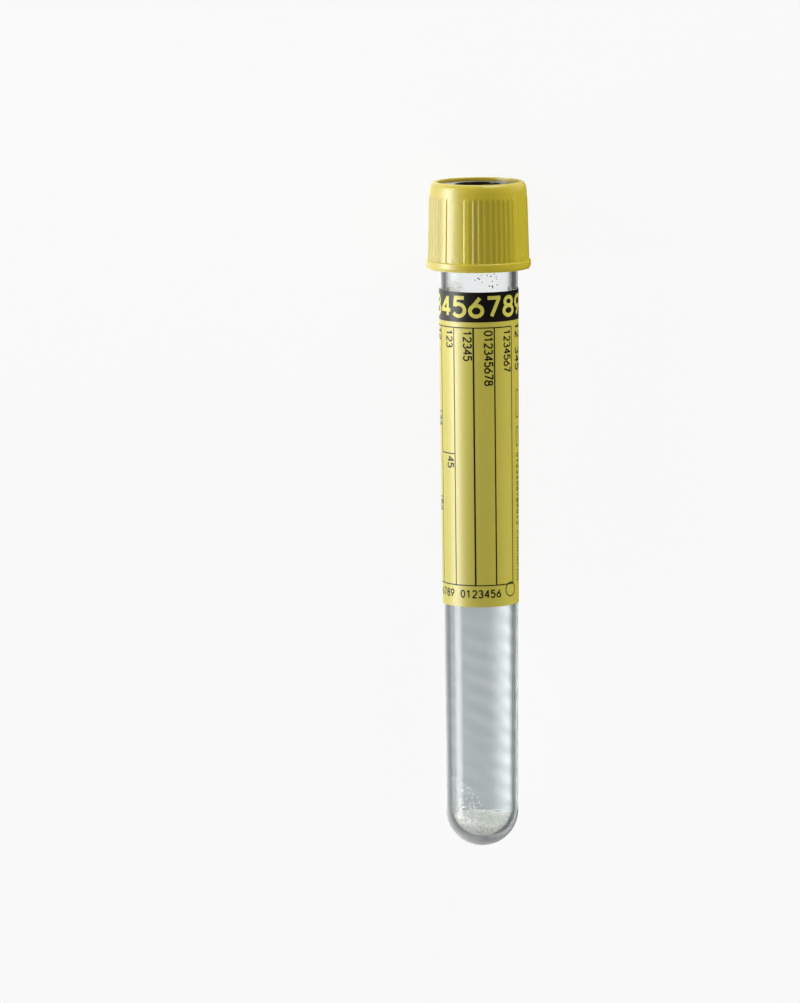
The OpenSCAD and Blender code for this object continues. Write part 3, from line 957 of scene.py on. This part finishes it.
def softbox(name, place, size, radiance, target, matt=True, gloss=True, spread=180):
    """A soft light of a given width and height in metres, aimed at a point, its brightness set
    against a white of 1. It can be kept to matt surfaces or to reflections alone, and a grid can
    narrow its spread in degrees. Its face is brightest along its middle and fades above and below."""
    data = bpy.data.lights.new(name, "AREA")
    data.shape = "RECTANGLE"
    data.size, data.size_y = size
    data.spread = math.radians(spread)
    data.energy = radiance * math.pi * size[0] * size[1]
    data.use_nodes = True
    tree = data.node_tree
    tree.nodes.clear()
    face = add_node(tree, "ShaderNodeNewGeometry")
    parts = add_node(tree, "ShaderNodeSeparateXYZ", {0: face.outputs["Parametric"]})
    up = add_node(tree, "ShaderNodeMath", {0: parts.outputs["Y"], 1: math.pi}, operation="MULTIPLY")
    hump = add_node(tree, "ShaderNodeMath", {0: up}, operation="SINE")
    glow = add_node(tree, "ShaderNodeEmission", {"Color": "#ffffff", "Strength": hump})
    add_node(tree, "ShaderNodeOutputLight", {"Surface": glow})
    lamp = put_in_scene(name, data)
    lamp.location = place
    lamp.visible_transmission = False
    lamp.visible_diffuse = matt
    lamp.visible_glossy = gloss
    lamp.rotation_mode = "QUATERNION"
    lamp.rotation_quaternion = (Vector(target) - Vector(place)).to_track_quat("-Z", "Y")


def studio_world():
    """White surroundings to the eye; in gloss a room that darkens upwards and to the right; grey to
    what the clear wall bends in; and a dim even fill on matt surfaces."""
    fill = 0.34
    world = bpy.data.worlds.new("studio")
    world.use_nodes = True
    tree = world.node_tree
    tree.nodes.clear()
    path = add_node(tree, "ShaderNodeLightPath")
    way = add_node(tree, "ShaderNodeTexCoord")
    parts = add_node(tree, "ShaderNodeSeparateXYZ", {0: way.outputs["Generated"]})
    upwards = add_node(tree, "ShaderNodeMapRange", {
        "Value": parts.outputs["Z"], "From Min": 0.25, "From Max": 0.9, "To Min": 0.6, "To Max": 0.06})
    rightwards = add_node(tree, "ShaderNodeMapRange", {
        "Value": parts.outputs["X"], "From Min": -0.3, "From Max": 0.2, "To Min": 1.0, "To Max": 0.15})
    gloss = add_node(tree, "ShaderNodeMath", {0: upwards, 1: rightwards}, operation="MULTIPLY")
    bent = add_node(tree, "ShaderNodeMapRange", {
        "Value": parts.outputs["Z"], "From Max": 0.7, "To Min": 0.35, "To Max": 0.1})
    level = add_node(tree, "ShaderNodeMix", {
        0: path.outputs["Is Glossy Ray"], 2: fill, 3: gloss})
    level = add_node(tree, "ShaderNodeMix", {
        0: path.outputs["Is Transmission Ray"], 2: level, 3: bent})
    level = add_node(tree, "ShaderNodeMix", {
        0: path.outputs["Is Camera Ray"], 2: level, 3: 1.0})
    ground = add_node(tree, "ShaderNodeBackground", {"Color": "#ffffff", "Strength": level})
    add_node(tree, "ShaderNodeOutputWorld", {"Surface": ground})
    bpy.context.scene.world = world


def camera():
    """Looks at the label's front from a metre, from a little past the cap's end."""
    distance, height = 1000.0, 202.1       # from the axis, and above the tip, along the tube
    pitch, yaw, roll = (math.radians(v) for v in (8.292, -0.739, -0.479))
    forward = Vector((math.sin(yaw) * math.cos(pitch), math.cos(yaw) * math.cos(pitch), -math.sin(pitch)))
    right = forward.cross(Vector((0, 0, 1))).normalized()
    up = right.cross(forward)
    cos, sin = math.cos(roll), math.sin(roll)
    right, up = cos * right + sin * up, -sin * right + cos * up
    data = bpy.data.cameras.new("camera")
    data.sensor_width = 36
    data.lens = 225.281755                 # millimetres, on a frame of 36
    data.clip_start, data.clip_end = 0.05, 20
    eye = put_in_scene("camera", data)
    upright = Matrix((right, up, -forward)).transposed()
    eye.location = LAY_DOWN @ Vector((0, -distance, height))
    eye.rotation_mode = "QUATERNION"
    eye.rotation_quaternion = (turn.to_3x3() @ upright).to_quaternion()
    bpy.context.scene.camera = eye


bench()
studio_world()
softbox("key_from_left", (-0.5, 0.02, 0.14), (0.55, 0.32), 4.0, (0, 0.02, 0.14))
softbox("sheen_from_left", (-0.49, 0.02, 0.14), (0.55, 0.32), 6.5, (0, 0.02, 0.14), matt=False)
softbox("snoot_on_cap", (-0.2, 0.052, 0.05), (0.06, 0.06), 0.33, (0, 0.05, 0.008), gloss=False, spread=24)
softbox("fill_from_right", (0.45, -0.14, 0.035), (0.4, 0.07), 12.0, (0, 0, 0.03), gloss=False)
softbox("edge_on_cap", (0.18, 0.5, 0.12), (0.2, 0.15), 17.0, (0, 0.05, 0.01))
camera()
bpy.context.scene.view_settings.view_transform = "Standard"
